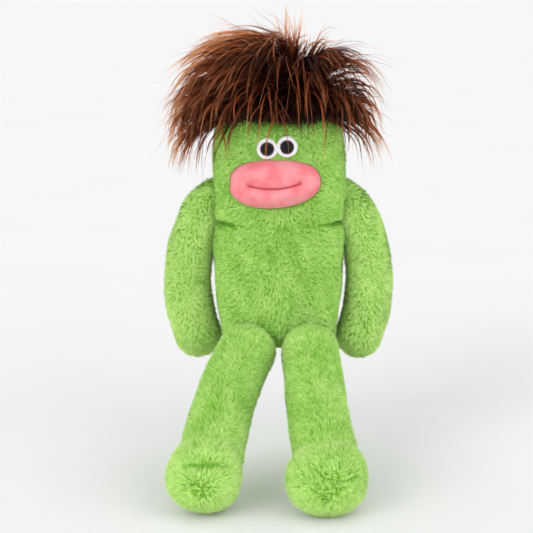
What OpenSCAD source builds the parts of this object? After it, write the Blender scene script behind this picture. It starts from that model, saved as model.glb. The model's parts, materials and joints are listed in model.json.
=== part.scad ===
// Seated plush figure: a stuffed column with sewn-on arms and legs, boots, a padded
// muzzle, stitched-on eyes and a wig of long pile.
// The origin is on the seat, under the middle of the column. The figure faces -Y, +Z is
// up, and its own left is +X. Fabric surfaces are the cloth backing: the pile stands
// proud of them and is no part of this model.

/* [Body column] */
// Width of the column where it sits
seat_w = 107; // [100:1:112]
// Width of the chest
chest_w = 115; // [110:1:118]
// Width of the column just under the neck fold
yoke_w = 120; // [116:1:122]
// Width of the head at mouth height
head_w = 127; // [122:1:130]
// Width of the head at the hairline
brow_w = 120; // [114:1:124]
// Front-to-back thickness of the column
column_d = 87; // [84:1:90]
// Height of the widest part of the chest
chest_z = 45; // [35:1:55]
// Height of the neck fold above the seat
neck_z = 126; // [125:1:128]
// Height of the widest part of the head
mouth_z = 180; // [175:1:190]
// Height of the top of the head above the seat
head_top = 240; // [236:1:244]

/* [Face] */
// Sideways place of the muzzle's middle
muzzle_x = -3.4; // [-5:0.1:5]
// Height of the muzzle's middle
muzzle_z = 166.5; // [165:0.5:168]
// Width of the muzzle
muzzle_w = 90; // [84:1:94]
// Height of the muzzle
muzzle_h = 45; // [40:1:47]
// How far the muzzle stands out from the face
muzzle_out = 17; // [14:0.5:20]
// Radius of the white of an eye
eye_r = 9.4; // [8:0.1:9.4]
// Radius of a pupil
pupil_r = 6.4; // [5:0.1:7]

/* [Arms] */
// Thickness of an arm
arm_t = 39; // [36:1:40]
// Thickness of the rounded top of an arm
shoulder_t = 44; // [42:1:44]
// Distance of a shoulder's middle from the centre plane
shoulder_x = 75.5; // [75.5:0.5:80]
// Height of a shoulder's middle
shoulder_z = 129; // [127:1:131]
// Distance of the hand's middle from the centre plane
hand_x = 81; // [79:1:84]
// Height of the hand's middle
hand_z = 12; // [5:1:20]
// Radius of the arm's outward bow
bow_r = 160; // [140:5:250]

/* [Legs] */
// Thickness of a leg
leg_t = 49; // [46:1:49]
// Distance from the hip's middle to the boot's middle
leg_len = 156; // [140:1:160]
// Thickness of a boot
boot_t = 58.6; // [56:0.2:60]
// Distance of a hip's middle from the centre plane
hip_x = 31; // [31:0.5:33]
// Place of the hips in front of the column's middle
hip_y = -58; // [-60:1:-57]
// Height of the hips
hip_z = 4; // [2:1:6]
// Slope of the legs below level
leg_pitch = 33; // [25:0.5:35]
// Outward angle of the left leg
left_splay = 4.8; // [4:0.1:14]
// Outward angle of the right leg
right_splay = 13.4; // [8:0.1:16]

/* [Cloth and hair] */
// Thickness of the cloth backing
cloth = 2; // [1.6:0.1:2.4]
// Height of the hair's highest tips above the seat
hair_top_z = 341; // [330:1:345]
// Distance of the longest side tips from the centre plane
hair_reach = 117; // [100:1:122]

/* [Hidden] */

left = 1;
right = -1;
gap = 0.3;
far = 400;
fold_gap = 9;
head_gap = 13;
corner_r = 28;
neck_r = 30;
hip_notch_r = 29;
hip_core_r = 12;
shoulder_core_r = 10;
tape_w = 5;
base_t = 2.5;
face_y = -column_d / 2;
arm_r = arm_t / 2;
shoulder_r = shoulder_t / 2;
leg_r = leg_t / 2;
boot_r = boot_t / 2;
ankle_back = 24;
ankle_gap = 0.8;
boot_seam = leg_len + 2;
eye_t = 3;
pupil_t = 1.6;
left_eye = [7.6, 202.6];
right_eye = [-11.4, 200.8];

plush_green = "yellowgreen";
fill_white = "whitesmoke";
hair_brown = "saddlebrown";
lip_pink = "lightpink";

// The arm follows an arc from the shoulder to the hand, bowed away from the column
arm_chord = norm([hand_x - shoulder_x, hand_z - shoulder_z]);
arm_lean = atan2(shoulder_z - hand_z, shoulder_x - hand_x);
arm_half_turn = asin(arm_chord / 2 / bow_r);
bow_back = bow_r * cos(arm_half_turn);
bow_x = (shoulder_x + hand_x) / 2 - bow_back * sin(arm_lean);
bow_z = (shoulder_z + hand_z) / 2 + bow_back * cos(arm_lean);

// Rows of the head, each [width, height of the row]
head_rows = [
    [yoke_w, neck_z + head_gap + corner_r],
    [mix(yoke_w, head_w, 0.7), mouth_z - 8],
    [head_w, mouth_z],
    [mix(head_w, brow_w, 0.4), mouth_z + 16],
    [brow_w, head_top - corner_r]
];

function mix(a, b, share) = a + (b - a) * share;

// The value for the object's own left or right side
function pick(side, for_left, for_right) = side == left ? for_left : for_right;

// ---- helpers ----

// Keeps what lies on the -Y side (front) or the +Y side of the plane y = 0
module front_part() {
    intersection() {
        children();
        translate([-far, -2 * far - gap / 2, -far]) cube(2 * far);
    }
}

module back_part() {
    intersection() {
        children();
        translate([-far, gap / 2, -far]) cube(2 * far);
    }
}

// Places a shape at the four corners of the column, for a row of this width
module at_corners(width) {
    for (sx = [-1, 1], sy = [-1, 1])
        translate([sx * (width / 2 - corner_r), sy * (column_d / 2 - corner_r)]) children();
}

// Four rounded corners of the column at one row, [width, height]
module column_corners(row, inset, facets) {
    at_corners(row[0]) translate([0, 0, row[1]]) sphere(r = corner_r - inset, $fn = facets);
}

// The lower column, from the seat up to the neck fold
module torso_form(inset) {
    hull() {
        at_corners(seat_w) translate([0, 0, base_t + gap + inset])
            cylinder(r = corner_r - inset, h = 1, $fn = 32);
        column_corners([chest_w, chest_z], inset, 32);
        column_corners([yoke_w, neck_z - fold_gap - corner_r], inset, 32);
    }
}

// The upper column, from the neck fold to the crown
module head_form(inset) {
    for (i = [0 : len(head_rows) - 2])
        hull() {
            column_corners(head_rows[i], inset, 24);
            column_corners(head_rows[i + 1], inset, 24);
        }
}

// An oblong with rounded corners, about the origin
module rounded_outline(width, depth, round_r) {
    union() {
        square([width, depth - 2 * round_r], center = true);
        square([width - 2 * round_r, depth], center = true);
        for (sx = [-1, 1], sy = [-1, 1])
            translate([sx * (width / 2 - round_r), sy * (depth / 2 - round_r)])
                circle(r = round_r, $fn = 64);
    }
}

module neck_ball(room) {
    translate([0, 0, neck_z]) sphere(r = neck_r + room, $fn = 48);
}

// Room that the legs' rounded tops turn in
module hip_notches(room) {
    for (side = [left, right])
        translate([side * hip_x, hip_y, hip_z]) sphere(r = hip_notch_r + room, $fn = 64);
}

module torso_shell() {
    difference() {
        torso_form(0);
        torso_form(cloth);
        neck_ball(2 * gap);
        hip_notches(0);
    }
}

module head_shell() {
    difference() {
        head_form(0);
        head_form(cloth);
        neck_ball(2 * gap);
    }
}

// ---- column ----

module torso_front_panel() color(plush_green) front_part() torso_shell();

module torso_back_panel() color(plush_green) back_part() torso_shell();

module torso_base_panel() {
    color(plush_green) difference() {
        linear_extrude(base_t) rounded_outline(seat_w, column_d, corner_r);
        hip_notches(0);
    }
}

// The slit that a seam tape fills, along the column's sides
module tape_slit(extra) {
    cube([2 * far, 2 * (cloth - gap) + 2 * extra, 2 * far], center = true);
}

module torso_stuffing() {
    color(fill_white) difference() {
        torso_form(cloth + gap);
        neck_ball(2 * gap);
        hip_notches(cloth);
        difference() {
            tape_slit(gap);
            torso_form(cloth + tape_w + 2 * gap);
        }
    }
}

module torso_seam_tape() {
    color(plush_green) intersection() {
        difference() {
            torso_form(cloth + gap);
            torso_form(cloth + tape_w + gap);
            neck_ball(cloth);
        }
        tape_slit(0);
    }
}

// Ladder stitches that close the filling gap, up the middle of the back
module closing_stitches() {
    stitch_r = 0.6;
    stitch_l = 5;
    pitch = 6;
    color("olivedrab") for (i = [0 : 8])
        translate([0, -face_y + stitch_r + 0.1, 22 + pitch * i])
            rotate([0, 90, 0]) cylinder(r = stitch_r, h = stitch_l, center = true, $fn = 24);
}

module neck_stuffing() color(fill_white) neck_ball(0);

// The narrow band of plush inside the neck fold
module neck_fold_panel() {
    band_w = 94;
    band_d = 74;
    band_low = neck_z - 11;
    band_h = 26;
    round_r = 30;
    color(plush_green) translate([0, 0, band_low]) linear_extrude(band_h)
        difference() {
            rounded_outline(band_w, band_d, round_r);
            rounded_outline(band_w - 2 * cloth, band_d - 2 * cloth, round_r - cloth);
        }
}

// ---- head ----

module head_front_panel() color(plush_green) front_part() head_shell();

module head_back_panel() color(plush_green) back_part() head_shell();

module head_stuffing() {
    color(fill_white) difference() {
        head_form(cloth + gap);
        neck_ball(2 * gap);
        difference() {
            tape_slit(gap);
            head_form(cloth + tape_w + 2 * gap);
        }
    }
}

module head_seam_tape() {
    color(plush_green) intersection() {
        difference() {
            head_form(cloth + gap);
            head_form(cloth + tape_w + gap);
            neck_ball(cloth);
        }
        tape_slit(0);
    }
}

// The knitted cap that the hair is sewn through
module scalp_panel() {
    cap_low = 226;
    color(hair_brown) difference() {
        head_form(-gap - cloth);
        head_form(-gap);
        translate([-far, -far, cap_low - 2 * far]) cube(2 * far);
    }
}

// ---- hair ----

// A tapering lock through three places, thick at the root and fine at the tip
module lock(root, bend, tip) {
    color(hair_brown) {
        hull() {
            translate(root) sphere(r = 7, $fn = 8);
            translate(bend) sphere(r = 6, $fn = 8);
        }
        hull() {
            translate(bend) sphere(r = 6, $fn = 8);
            translate(tip) sphere(r = 1.8, $fn = 8);
        }
    }
}

module hair_crown() {
    low = head_top + cloth + 2;
    color(hair_brown) hull() {
        for (sx = [-1, 1], sy = [-1, 1]) {
            translate([sx * 36, sy * 10, low + 18]) sphere(r = 18, $fn = 20);
            translate([sx * 20, sy * 6, low + 32]) sphere(r = 18, $fn = 20);
        }
    }
}

// Locks that stand up out of the crown
module hair_top() {
    low = head_top + cloth + 64;
    for (i = [-2 : 2]) {
        droop = 9 * abs(i);
        lock([13 * i, 0, low], [17 * i + 8, -3, low + 16 - droop / 2],
             [27 * i + 14, -6, hair_top_z - 2 - droop]);
    }
}

// Locks that fan out over one side of the head
module side_hair(side, tip_z) {
    for (i = [-2 : 2])
        lock([side * 66, 12 * i, head_top + 12],
             [side * (92 - 3 * abs(i)), 19 * i, head_top + 20],
             [side * (hair_reach - 2 - 4 * abs(i)), 26 * i, tip_z + 9 * abs(i)]);
}

module hair_left() side_hair(left, 186);

module hair_right() side_hair(right, 160);

module hair_back() {
    for (i = [-2 : 2])
        lock([17 * i, 46, head_top + 12], [20 * i, 66, head_top + 8],
             [25 * i, 80, 158 + 6 * abs(i)]);
}

module hair_fringe() {
    for (i = [-2 : 2])
        lock([17 * i, -42, head_top + 12], [19 * i, -54, head_top + 4],
             [22 * i, -60, 214 - 2 * i]);
}

// ---- face ----

// A puffed oval pad with a flat middle
module muzzle_form(inset) {
    rim_r = 6;
    puff_r = 9;
    steps = 20;
    hull() {
        for (i = [0 : steps - 1]) {
            turn = 360 * i / steps;
            bulge = 0.82;
            px = (muzzle_w / 2 - rim_r) * sign(cos(turn)) * pow(abs(cos(turn)), bulge);
            pz = (muzzle_h / 2 - rim_r) * sign(sin(turn)) * pow(abs(sin(turn)), bulge);
            translate([px, -rim_r, pz]) sphere(r = rim_r - inset, $fn = 16);
        }
        for (sx = [-1, 1], sz = [-1, 1])
            translate([sx * 22, puff_r - muzzle_out, sz * 5])
                sphere(r = puff_r - inset, $fn = 16);
    }
}

module at_muzzle() translate([muzzle_x, face_y - 2 * gap, muzzle_z]) children();

module muzzle_cover() {
    felt = 1.5;
    color(lip_pink) at_muzzle() difference() {
        muzzle_form(0);
        muzzle_form(felt);
        translate([0, felt, 0]) muzzle_form(felt);
    }
}

module muzzle_stuffing() color(fill_white) at_muzzle() muzzle_form(1.5 + gap);

// The stitched line of the closed mouth
module smile_seam() {
    smile_w = 50;
    dip = 6;
    thread_r = 0.7;
    smile_r = (pow(smile_w / 2, 2) + pow(dip, 2)) / (2 * dip);
    half_turn = asin(smile_w / 2 / smile_r);
    color("firebrick") at_muzzle()
        translate([0, -muzzle_out - thread_r - 0.1, smile_r - 6])
            rotate([90, 0, 0]) rotate([0, 0, 270 - half_turn])
                rotate_extrude(angle = 2 * half_turn, $fn = 96)
                    translate([smile_r, 0]) circle(r = thread_r, $fn = 24);
}

// A flat disc with a rounded edge, its back on the plane z = 0
module soft_disc(radius, thick) {
    rotate_extrude($fn = 64) union() {
        square([radius - thick / 2, thick]);
        intersection() {
            translate([radius - thick / 2, thick / 2]) circle(r = thick / 2, $fn = 24);
            square([radius, thick]);
        }
    }
}

module on_face(place, lift) {
    translate([place[0], face_y - lift, place[1]]) rotate([90, 0, 0]) children();
}

module eye_white(place) color("white") on_face(place, 2 * gap) soft_disc(eye_r, eye_t);

module pupil(place) {
    color("black") on_face(place, 2 * gap + eye_t + 0.05) soft_disc(pupil_r, pupil_t);
}

// ---- arms ----

// A place on the arm's middle line, from the shoulder (0) to the hand (1)
function arm_place(share) =
    let (turn = arm_lean - 90 + arm_half_turn * (1 - 2 * share))
    [bow_x + bow_r * cos(turn), 0, bow_z + bow_r * sin(turn)];

module arm_form(side, inset) {
    steps = 8;
    mirror([pick(side, 0, 1), 0, 0]) for (i = [0 : steps - 1])
        hull() {
            translate(arm_place(i / steps))
                sphere(r = (i == 0 ? shoulder_r : arm_r) - inset, $fn = 24);
            translate(arm_place((i + 1) / steps)) sphere(r = arm_r - inset, $fn = 24);
        }
}

module arm_shell(side) {
    color(plush_green) difference() {
        arm_form(side, 0);
        arm_form(side, cloth);
    }
}

// The filling, hollowed where it bends over the core in the sewn end of the arm
module arm_stuffing(side) {
    room_r = shoulder_core_r + 2 * gap;
    color(fill_white) difference() {
        arm_form(side, cloth + gap);
        translate([side * shoulder_x, 0, shoulder_z]) {
            sphere(r = room_r, $fn = 32);
            rotate([0, -90 * side, 0]) cylinder(r = room_r, h = shoulder_r, $fn = 32);
        }
    }
}

module shoulder_core(side) {
    color(fill_white) translate([side * shoulder_x, 0, shoulder_z])
        sphere(r = shoulder_core_r, $fn = 48);
}

// ---- legs ----

// Places a leg that is drawn along -Y from the hip
module at_hip(side) {
    turn = pick(side, left_splay, -right_splay);
    translate([side * hip_x, hip_y, hip_z]) rotate([leg_pitch, 0, 0]) rotate([0, 0, turn])
        children();
}

// A round-ended tube from the hip to the ankle
module leg_form(inset) {
    tube_l = leg_len - ankle_back;
    r = leg_r - inset;
    rotate([90, 0, 0]) rotate_extrude($fn = 64) intersection() {
        union() {
            circle(r = r, $fn = 64);
            square([r, tube_l]);
            translate([0, tube_l]) circle(r = r, $fn = 64);
        }
        translate([0, -far / 2]) square([far, far]);
    }
}

// The upper (+Z) or the under half of the cloth tube, in the leg's own frame
module leg_panel(side, half) {
    color(plush_green) at_hip(side) intersection() {
        difference() {
            leg_form(0);
            leg_form(cloth);
        }
        translate([-far, -far, half > 0 ? gap / 2 : -2 * far - gap / 2]) cube(2 * far);
    }
}

module leg_stuffing(side) {
    color(fill_white) at_hip(side) difference() {
        leg_form(cloth + gap);
        sphere(r = hip_core_r + gap, $fn = 48);
    }
}

module hip_stuffing(side) {
    color(fill_white) at_hip(side) sphere(r = hip_core_r, $fn = 48);
}

// Half the outline of a boot, along its own axis: a ball with a hollow for the leg's end
module boot_outline(inset) {
    difference() {
        intersection() {
            translate([0, leg_len]) circle(r = boot_r - inset, $fn = 64);
            square([far, far]);
        }
        translate([0, leg_len - ankle_back]) circle(r = leg_r + ankle_gap, $fn = 64);
    }
}

// The instep or the sole part of the boot's cloth
module boot_panel(side, low, high) {
    color(plush_green) at_hip(side) rotate([90, 0, 0]) rotate_extrude($fn = 64)
        intersection() {
            difference() {
                boot_outline(0);
                translate([0, leg_len]) circle(r = boot_r - cloth, $fn = 64);
            }
            translate([0, low]) square([far, high - low]);
        }
}

module boot_upper_panel(side) boot_panel(side, 0, boot_seam - gap / 2);

module boot_sole_panel(side) boot_panel(side, boot_seam + gap / 2, far);

module boot_stuffing(side) {
    color(fill_white) at_hip(side) rotate([90, 0, 0]) rotate_extrude($fn = 64)
        boot_outline(cloth + gap);
}

// ---- nodes ----

torso_front_panel();
torso_back_panel();
torso_base_panel();
torso_stuffing();
torso_seam_tape();
closing_stitches();
neck_stuffing();
neck_fold_panel();
head_front_panel();
head_back_panel();
head_stuffing();
head_seam_tape();
scalp_panel();
hair_crown();
hair_top();
hair_left();
hair_right();
hair_back();
hair_fringe();
muzzle_cover();
muzzle_stuffing();
smile_seam();
eye_white(left_eye);  // left_eye_white
eye_white(right_eye);  // right_eye_white
pupil(left_eye);  // left_pupil
pupil(right_eye);  // right_pupil
shoulder_core(left);  // left_shoulder_stuffing
front_part() arm_shell(left);  // left_arm_front_panel
back_part() arm_shell(left);  // left_arm_back_panel
arm_stuffing(left);  // left_arm_stuffing
shoulder_core(right);  // right_shoulder_stuffing
front_part() arm_shell(right);  // right_arm_front_panel
back_part() arm_shell(right);  // right_arm_back_panel
arm_stuffing(right);  // right_arm_stuffing
hip_stuffing(left);  // left_hip_stuffing
leg_panel(left, 1);  // left_leg_upper_panel
leg_panel(left, -1);  // left_leg_under_panel
leg_stuffing(left);  // left_leg_stuffing
boot_upper_panel(left);  // left_boot_upper_panel
boot_sole_panel(left);  // left_boot_sole_panel
boot_stuffing(left);  // left_boot_stuffing
hip_stuffing(right);  // right_hip_stuffing
leg_panel(right, 1);  // right_leg_upper_panel
leg_panel(right, -1);  // right_leg_under_panel
leg_stuffing(right);  // right_leg_stuffing
boot_upper_panel(right);  // right_boot_upper_panel
boot_sole_panel(right);  // right_boot_sole_panel
boot_stuffing(right);  // right_boot_stuffing
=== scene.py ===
"""Looks of the seated plush figure: stuffed skins, pile, hair, face and a plain studio.

Everything is in metres in the row frame. The figure faces -Y, its own left is +X.
"""
import json
import math
from typing import NamedTuple

import bpy
import numpy as np
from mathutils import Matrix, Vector
from mathutils.kdtree import KDTree
from numpy.linalg import norm


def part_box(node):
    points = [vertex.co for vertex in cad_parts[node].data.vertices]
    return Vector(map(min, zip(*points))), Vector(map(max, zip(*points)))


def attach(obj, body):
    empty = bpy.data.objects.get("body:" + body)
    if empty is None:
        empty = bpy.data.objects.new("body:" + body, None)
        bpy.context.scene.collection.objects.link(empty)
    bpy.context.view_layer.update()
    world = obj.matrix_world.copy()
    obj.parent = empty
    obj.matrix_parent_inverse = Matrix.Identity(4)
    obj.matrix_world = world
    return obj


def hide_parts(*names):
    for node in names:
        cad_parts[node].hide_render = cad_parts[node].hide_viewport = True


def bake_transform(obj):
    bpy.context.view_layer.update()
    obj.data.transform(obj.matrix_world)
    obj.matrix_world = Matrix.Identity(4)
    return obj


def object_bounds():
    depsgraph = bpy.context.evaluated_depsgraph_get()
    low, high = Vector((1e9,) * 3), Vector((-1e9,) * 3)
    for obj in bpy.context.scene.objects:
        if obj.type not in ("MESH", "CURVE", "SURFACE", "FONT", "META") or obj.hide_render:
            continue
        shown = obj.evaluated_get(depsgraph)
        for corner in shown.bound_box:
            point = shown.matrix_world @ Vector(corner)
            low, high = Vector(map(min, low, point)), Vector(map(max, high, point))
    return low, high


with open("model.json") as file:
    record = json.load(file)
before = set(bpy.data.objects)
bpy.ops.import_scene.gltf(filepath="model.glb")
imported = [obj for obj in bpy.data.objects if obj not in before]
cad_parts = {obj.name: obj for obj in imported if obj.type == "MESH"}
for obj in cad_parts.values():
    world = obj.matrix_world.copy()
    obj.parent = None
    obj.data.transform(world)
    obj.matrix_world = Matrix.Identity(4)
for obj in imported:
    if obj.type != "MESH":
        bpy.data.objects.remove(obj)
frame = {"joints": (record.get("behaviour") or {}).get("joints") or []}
cad_low, cad_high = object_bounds()

MM = 0.001
UP = np.array([0.0, 0.0, 1.0])
LEVEL = 1 - UP
JOINT_PLACE = {j["name"]: np.array(j["pos_m"], float) for j in frame["joints"]}
SIDES = {"left": 1.0, "right": -1.0}

# ---- the stuffed column ----

FOLD_Z = 0.126
COLUMN_TOP = 0.240
COLUMN_HALF_DEPTH = 0.0432
COLUMN_SQUARENESS = 3.8
TOP_ROUND = 0.030
BASE_ROUND = 0.014
BASE_Z = 0.0015
# Height and half width of the column's backing, in millimetres
COLUMN_WIDTHS = [
    (0, 52.0), (20, 54.5), (45, 57.5), (80, 60.0), (104, 61.0), (117, 61.0), (126, 59.0),
    (136, 60.8), (148, 61.0), (165, 61.0), (185, 60.8), (205, 60.0), (225, 58.5),
    (240, 57.0),
]
# Height and share of the full half depth
COLUMN_DEPTHS = [
    (0, 0.93), (20, 0.98), (50, 1.0), (90, 1.0), (112, 0.99), (126, 0.955), (140, 0.99),
    (160, 1.0), (215, 1.0), (240, 0.97),
]

# ---- arms, legs and boots ----

ARM_BOW = 0.146  # radius of the arm's bend
ARM_RADIUS = 0.0195
HAND_X = 0.081
LEG_RADIUS = 0.0252
BOOT_RADIUS = 0.0303
BOOT_AHEAD = 0.024
LEG_SAG = {"left": -0.0015, "right": -0.0045}  # sideways, as stuffing slumps
# Sideways shift, widening, and the middle of the pressed crease across and up
BOOT_SHAPE = {
    "left": (-0.0020, 1.13, 0.016, 0.006),
    "right": (0.0, 1.02, 0.002, 0.014),
}
# Where the pile of a boot parts, as a direction from the boot's middle
BOOT_PARTING = {"left": (0.12, -1.0, -0.15), "right": (-0.06, -1.0, -0.28)}

# ---- pile ----

PILE_DENSITY = 2.27  # ribbons on a square millimetre
PILE_LENGTH = 0.0054
PILE_WIDTH = 0.00070
PILE_SUNK = 0.0005  # how deep a tuft starts under the backing
# Degrees off the backing at a tuft's root and at its tip
PILE_RISE = (64, 40)
PILE_STANDING = (66, 34)  # where the pile has no way to lie
PILE_PRESSED = (4, 1)  # where it is sat on
PILE_LOCK = 0.0023  # from one small lock to the next
PILE_PULL = 0.27  # share of the way that a tip leans to its lock's middle
TUFT_STEPS = np.array([0.0, 0.5, 1.0])

# ---- face ----

FACE_Y = -0.0435
MUZZLE_HALF = (0.0440, 0.0236)
MUZZLE_OUT = 0.0165
MUZZLE_SLANT = 0.22  # how far the lower half leans to the figure's right
SMILE_STITCH_RADIUS = 0.00062
EYE_RADIUS = 0.0103
PUPIL_RADIUS = 0.0066

# ---- hair ----

HAIRLINE_Z = 0.226
WHORL = np.array([0.013, 0.0])  # across and back
# The rounded outline of the hair
DOME_MIDDLE = np.array([-0.002, 0.0, 0.232])
DOME_HALF = np.array([0.108, 0.082, 0.080])
STRAND_RADIUS = 0.00032
STRAND_STEPS = np.linspace(0, 1, 11)


# ==== small helpers ====

def unit(vectors):
    return vectors / np.maximum(norm(vectors, axis=-1, keepdims=True), 1e-12)


def dot(a, b):
    return np.sum(a * b, axis=-1, keepdims=True)


def once_round(count):
    return np.arange(count) * 2 * math.pi / count


def squared(values, power):
    """Cosines or sines to a power, signs kept, for outlines between round and square."""
    return np.sign(values) * np.abs(values) ** power


def box_middle(node, y):
    """The middle of a node's CAD box as seen from the front, at the depth y."""
    low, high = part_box(node)
    return np.array([(low.x + high.x) / 2, y, (low.z + high.z) / 2])


def linear(red, green, blue):
    """A colour from 0-255 display values as the linear values that shaders take."""
    values = np.array([red, green, blue]) / 255
    low = values / 12.92
    high = ((values + 0.055) / 1.055) ** 2.4
    return (*np.where(values <= 0.04045, low, high), 1.0)


def ripple(points, width, seed):
    """Smooth noise of about -1 to 1 at points, with features about width metres wide."""
    rng = np.random.default_rng(seed)
    total = np.zeros(points.shape[:-1])
    waves = 7
    for _ in range(waves):
        wave = unit(rng.normal(size=3)) * 2 * math.pi / (width * rng.uniform(1.0, 2.2))
        total += np.sin(points @ wave + rng.uniform(0, 2 * math.pi))
    return total * 1.6 / waves


def smoothstep(values, low, high):
    share = np.clip((values - low) / (high - low), 0, 1)
    return share * share * (3 - 2 * share)


def new_object(name, data):
    obj = bpy.data.objects.new(name, data)
    bpy.context.scene.collection.objects.link(obj)
    return obj


def bell(away, width):
    return np.exp(-(away / width) ** 2)


def build_mesh(name, verts, face_sets, mat, fields=None):
    """A smooth-shaded object from arrays of vertices and of faces with 3 or 4 corners."""
    sizes = np.concatenate([np.full(len(f), f.shape[1]) for f in face_sets])
    corners = np.concatenate([f.ravel() for f in face_sets])
    starts = np.concatenate([[0], np.cumsum(sizes)[:-1]])
    mesh = bpy.data.meshes.new(name)
    mesh.vertices.add(len(verts))
    mesh.vertices.foreach_set("co", verts.astype(np.float32).ravel())
    mesh.loops.add(len(corners))
    mesh.loops.foreach_set("vertex_index", corners.astype(np.int32))
    mesh.polygons.add(len(sizes))
    mesh.polygons.foreach_set("loop_start", starts.astype(np.int32))
    mesh.polygons.foreach_set("use_smooth", np.ones(len(sizes), bool))
    mesh.update(calc_edges=True)
    for field, values in (fields or {}).items():
        attribute = mesh.attributes.new(field, "FLOAT", "POINT")
        attribute.data.foreach_set("value", values.astype(np.float32).ravel())
    mesh.materials.append(mat)
    return new_object(name, mesh)


def between_rings(index):
    """Quads between the rows of a grid of vertex numbers, and the next number round."""
    ahead = np.roll(index, -1, axis=1)
    quads = np.stack([index[:-1], ahead[:-1], ahead[1:], index[1:]], -1)
    return quads.reshape(-1, 4), ahead


class Skin:
    """A closed surface through rings of points, closed at one point at each end."""

    def __init__(self, rings, first, last, bare=()):
        rows, around, _ = rings.shape
        self.verts = np.vstack([first, rings.reshape(-1, 3), last])
        index = 1 + np.arange(rows * around).reshape(rows, around)
        self.quads, ahead = between_rings(index)
        end = len(self.verts) - 1
        low_cap = np.stack([np.zeros(around, int), ahead[0], index[0]], -1)
        high_cap = np.stack([np.full(around, end), index[-1], ahead[-1]], -1)
        self.caps = np.vstack([low_cap, high_cap])
        self.triangles = np.vstack(
            [self.quads[:, [0, 1, 2]], self.quads[:, [0, 2, 3]], self.caps])
        self.covered = np.ones(len(self.triangles), bool)
        if "first" in bare:
            self.covered[-2 * around:-around] = False
        if "last" in bare:
            self.covered[-around:] = False
        self.turn_outward()
        self.normals = self.vertex_normals()

    def corners(self):
        return (self.verts[self.triangles[:, i]] for i in range(3))

    def turn_outward(self):
        a, b, c = self.corners()
        centre = self.verts.mean(axis=0)
        if np.sum((a - centre) * np.cross(b - centre, c - centre)) < 0:
            self.quads = self.quads[:, ::-1]
            self.caps = self.caps[:, ::-1]
            self.triangles = self.triangles[:, ::-1]

    def vertex_normals(self):
        a, b, c = self.corners()
        across = np.cross(b - a, c - a) * self.covered[:, None]
        total = np.zeros_like(self.verts)
        for i in range(3):
            np.add.at(total, self.triangles[:, i], across)
        return unit(total)

    def areas(self):
        """The triangles' areas, 0 where not covered."""
        a, b, c = self.corners()
        return norm(np.cross(b - a, c - a), axis=1) / 2 * self.covered

    def scatter(self, count, rng):
        """Random places on the covered part, and the normals there."""
        areas = self.areas()
        chosen = self.triangles[rng.choice(len(areas), count, p=areas / areas.sum())]
        far = np.sqrt(rng.random(count))
        along = rng.random(count)
        shares = np.stack([1 - far, far * (1 - along), far * along], -1)
        places = np.einsum("ij,ijk->ik", shares, self.verts[chosen])
        normals = unit(np.einsum("ij,ijk->ik", shares, self.normals[chosen]))
        return places, normals

    def make(self, name, mat, fields=None):
        return build_mesh(name, self.verts, [self.quads, self.caps], mat, fields)


def tubes(paths, radii, sides, rng):
    """Threads along paths (threads, places, 3), each ending in a point: vertices, faces."""
    threads, places, _ = paths.shape
    tangent = unit(np.gradient(paths, axis=1))
    lead = unit(rng.normal(size=(threads, 1, 3)))
    across = unit(np.cross(tangent, lead))
    other = np.cross(tangent, across)
    turns = once_round(sides)[:, None]
    ring = across[:, :, None] * np.cos(turns) + other[:, :, None] * np.sin(turns)
    body = paths[:, :-1, None] + ring[:, :-1] * radii[:, :-1, None, None]
    per_thread = (places - 1) * sides + 1
    verts = np.concatenate([body.reshape(threads, -1, 3), paths[:, -1:]], axis=1)
    index = np.arange((places - 1) * sides).reshape(places - 1, sides)
    walls, ahead = between_rings(index)
    tip = np.stack([index[-1], ahead[-1], np.full(sides, per_thread - 1)], -1)
    start = (np.arange(threads) * per_thread)[:, None, None]
    return (verts.reshape(-1, 3), (walls[None] + start).reshape(-1, 4),
            (tip[None] + start).reshape(-1, 3))


def per_vertex(values, sides):
    """Repeats per-place values (threads, places) for the vertices that tubes() makes."""
    body = np.repeat(values[:, :-1], sides, axis=1)
    return np.concatenate([body, values[:, -1:]], axis=1)


def sew(name, paths, radii, sides, rng, mat, **fields):
    """An object of threads along paths. A field has a value for each place on each thread."""
    verts, walls, tips = tubes(paths, radii, sides, rng)
    values = {key: per_vertex(each, sides) for key, each in fields.items()}
    return build_mesh(name, verts, [walls, tips], mat, values)


# ==== materials ====

def shader(name, **sockets):
    """A material whose uniform values sit on the Principled shader's own sockets."""
    mat = bpy.data.materials.new(name)
    mat.use_nodes = True
    for socket, value in sockets.items():
        feed(mat, principled(mat, socket.replace("_", " ")), value)
    return mat


def principled(mat, socket):
    return mat.node_tree.nodes["Principled BSDF"].inputs[socket]


def feed(mat, socket, value):
    """Gives a socket a constant or another node's output."""
    if isinstance(value, bpy.types.NodeSocket):
        mat.node_tree.links.new(value, socket)
    else:
        socket.default_value = value


def add_node(mat, kind, inputs=None, **settings):
    node = mat.node_tree.nodes.new("ShaderNode" + kind)
    for setting, value in settings.items():
        setattr(node, setting, value)
    for socket, value in (inputs or {}).items():
        feed(mat, node.inputs[socket], value)
    return node


def noise(mat, scale, detail=3.0, roughness=0.55):
    place = add_node(mat, "TexCoord").outputs["Object"]
    node = add_node(mat, "TexNoise", {
        "Vector": place, "Scale": scale, "Detail": detail, "Roughness": roughness})
    return node.outputs["Fac"]


def ramp(mat, factor, *stops):
    """A colour ramp through stops of a position and a colour in 0-255 display values."""
    node = add_node(mat, "ValToRGB", {"Fac": factor})
    elements = node.color_ramp.elements
    while len(elements) < len(stops):
        elements.new(0.5)
    for element, (position, colour) in zip(elements, stops):
        element.position = position
        element.color = linear(*colour)
    return node.outputs["Color"]


def field(mat, name):
    return add_node(mat, "Attribute", attribute_name=name).outputs["Fac"]


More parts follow.
